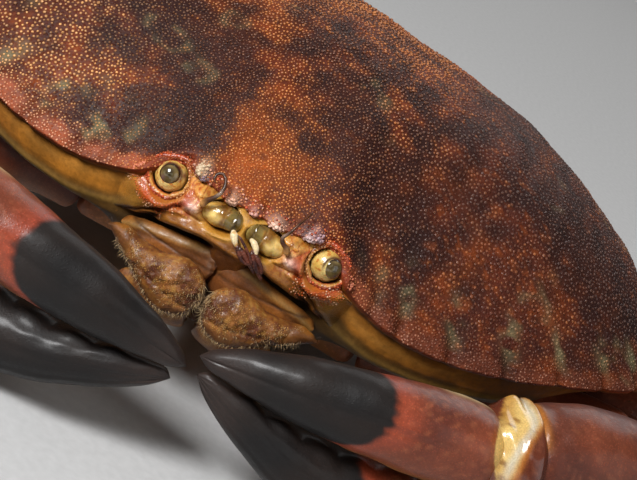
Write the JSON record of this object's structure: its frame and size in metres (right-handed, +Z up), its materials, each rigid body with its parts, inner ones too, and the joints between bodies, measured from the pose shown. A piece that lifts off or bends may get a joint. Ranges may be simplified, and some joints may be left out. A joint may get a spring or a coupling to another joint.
{
  "type": "brown crab",
  "caption": "Life-size brown crab standing on its walking legs, broad oval shell with a scalloped edge, black-tipped claws folded under the face.",
  "frame": {"origin": "middle of the bounding box seen from above, on the floor", "axes": "+X to the crab's left, +Y to its rear (it faces -Y), +Z up from the floor"},
  "size_m": [0.3878, 0.2206, 0.078],
  "materials": {
    "shell": "dark reddish brown granular shell with pale dots, satin",
    "belly": "cream to ochre smooth underside plates, satin",
    "mouth": "golden brown wet mouthparts, semi-gloss",
    "stalk": "cream yellow eyestalk, semi-gloss",
    "cornea": "dark olive cornea, glossy",
    "feeler": "brown feeler, satin",
    "claw": "salmon brown claw with near-black fingers, satin",
    "leg": "reddish brown leg with bristle rows and dark tip, satin"
  },
  "bodies": {
    "root": {"abdomen": "belly", "antenna_left": "feeler", "antenna_right": "feeler", "antennule_left": "mouth", "antennule_right": "mouth", "carapace": "shell", "claw_arm_left": "claw", "claw_arm_right": "claw", "claw_finger_left": "claw", "claw_finger_right": "claw", "claw_palm_left": "claw", "claw_palm_right": "claw", "claw_wrist_left": "claw", "claw_wrist_right": "claw", "eye_left": "cornea", "eye_right": "cornea", "eyestalk_left": "stalk", "eyestalk_right": "stalk", "leg1_carpus_left": "leg", "leg1_carpus_right": "leg", "leg1_dactyl_left": "leg", "leg1_dactyl_right": "leg", "leg1_merus_left": "leg", "leg1_merus_right": "leg", "leg1_propodus_left": "leg", "leg1_propodus_right": "leg", "leg2_carpus_left": "leg", "leg2_carpus_right": "leg", "leg2_dactyl_left": "leg", "leg2_dactyl_right": "leg", "leg2_merus_left": "leg", "leg2_merus_right": "leg", "leg2_propodus_left": "leg", "leg2_propodus_right": "leg", "leg3_carpus_left": "leg", "leg3_carpus_right": "leg", "leg3_dactyl_left": "leg", "leg3_dactyl_right": "leg", "leg3_merus_left": "leg", "leg3_merus_right": "leg", "leg3_propodus_left": "leg", "leg3_propodus_right": "leg", "leg4_carpus_left": "leg", "leg4_carpus_right": "leg", "leg4_dactyl_left": "leg", "leg4_dactyl_right": "leg", "leg4_merus_left": "leg", "leg4_merus_right": "leg", "leg4_propodus_left": "leg", "leg4_propodus_right": "leg", "maxilliped_left": "mouth", "maxilliped_right": "mouth", "thorax": "belly"}
  },
  "joints": []
}
